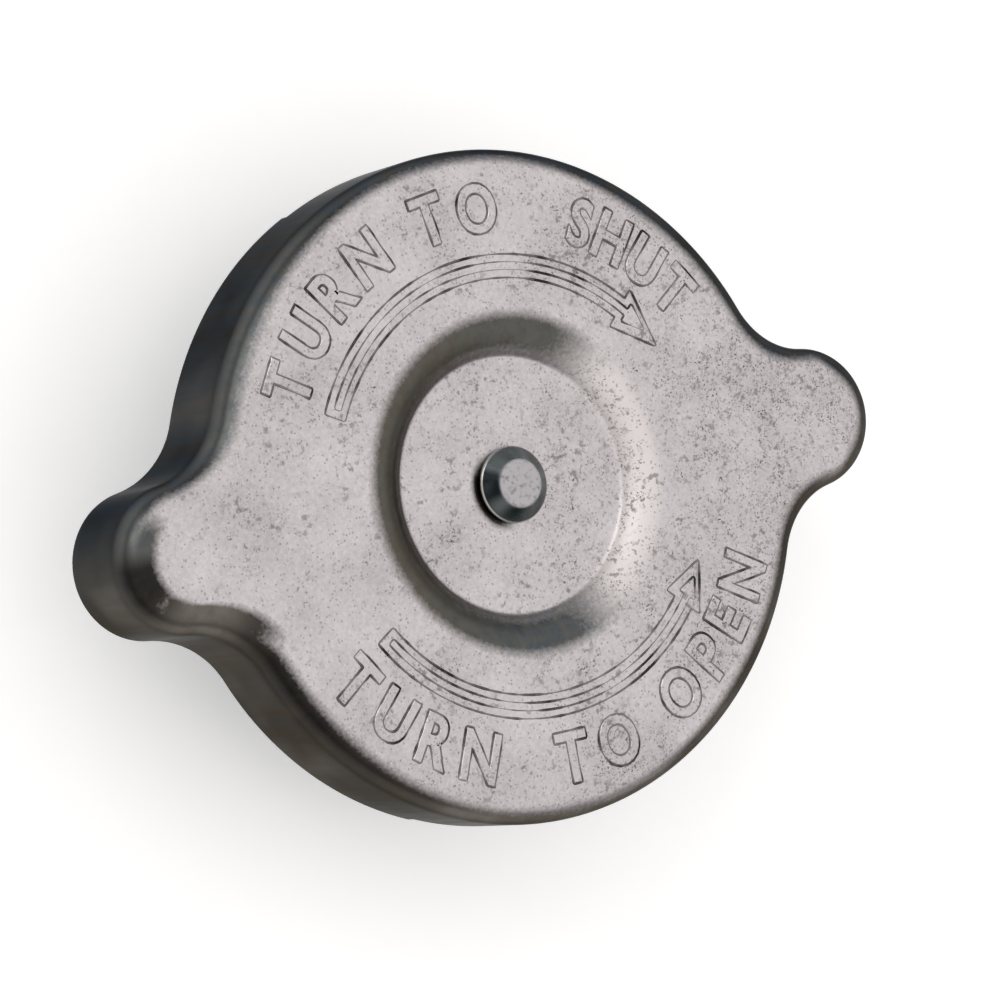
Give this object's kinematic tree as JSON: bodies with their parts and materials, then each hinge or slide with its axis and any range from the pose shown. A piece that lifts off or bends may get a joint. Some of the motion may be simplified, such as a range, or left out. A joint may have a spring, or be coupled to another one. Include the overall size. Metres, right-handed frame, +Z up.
{
  "type": "radiator cap",
  "caption": "Round pressed-steel radiator pressure cap with finger ears, dished riveted top, bayonet lugs, and a swivelling sprung pressure valve with a vacuum poppet.",
  "frame": {"origin": "centre of the pressure gasket's resting face, at the bottom of the cap's box", "axes": "+Z up along the cap's axis, +X along the ears"},
  "size_m": [0.0742, 0.056, 0.022],
  "materials": {
    "tinplate": "satin tin plate with fine dark specks and scratches",
    "rivet_steel": "satin",
    "plated_steel": "bright zinc plate",
    "spring_steel": "polished",
    "seal_rubber": "matt",
    "valve_brass": "satin"
  },
  "bodies": {
    "shell": {"cap_shell": "tinplate", "center_rivet": "rivet_steel", "rivet_washer": "plated_steel"},
    "carrier": {"spring_disc": "spring_steel", "neck_gasket": "seal_rubber", "valve_cage": "plated_steel", "pressure_spring": "spring_steel"},
    "pressure_valve": {"valve_cup": "plated_steel", "backing_plate": "plated_steel", "pressure_gasket": "seal_rubber", "gasket_retainer": "plated_steel", "vacuum_spring": "spring_steel"},
    "vacuum_poppet": {"vacuum_valve": "valve_brass", "vacuum_clip": "spring_steel"}
  },
  "joints": [
    {"name": "shell_swivel", "type": "hinge", "parent": "shell", "child": "carrier", "pos_m": [0, 0, 0.0186], "axis": [0, 0, 1], "continuous": true},
    {"name": "pressure_lift", "type": "slide", "parent": "carrier", "child": "pressure_valve", "axis": [0, 0, 1], "range_m": [0, 0.003], "stiffness_N_per_m": 6000, "springref_m": -0.0075, "deforming": ["pressure_spring"]},
    {"name": "vacuum_drop", "type": "slide", "parent": "pressure_valve", "child": "vacuum_poppet", "axis": [0, 0, -1], "range_m": [0, 0.002], "stiffness_N_per_m": 120, "springref_m": -0.003, "deforming": ["vacuum_spring"]}
  ]
}
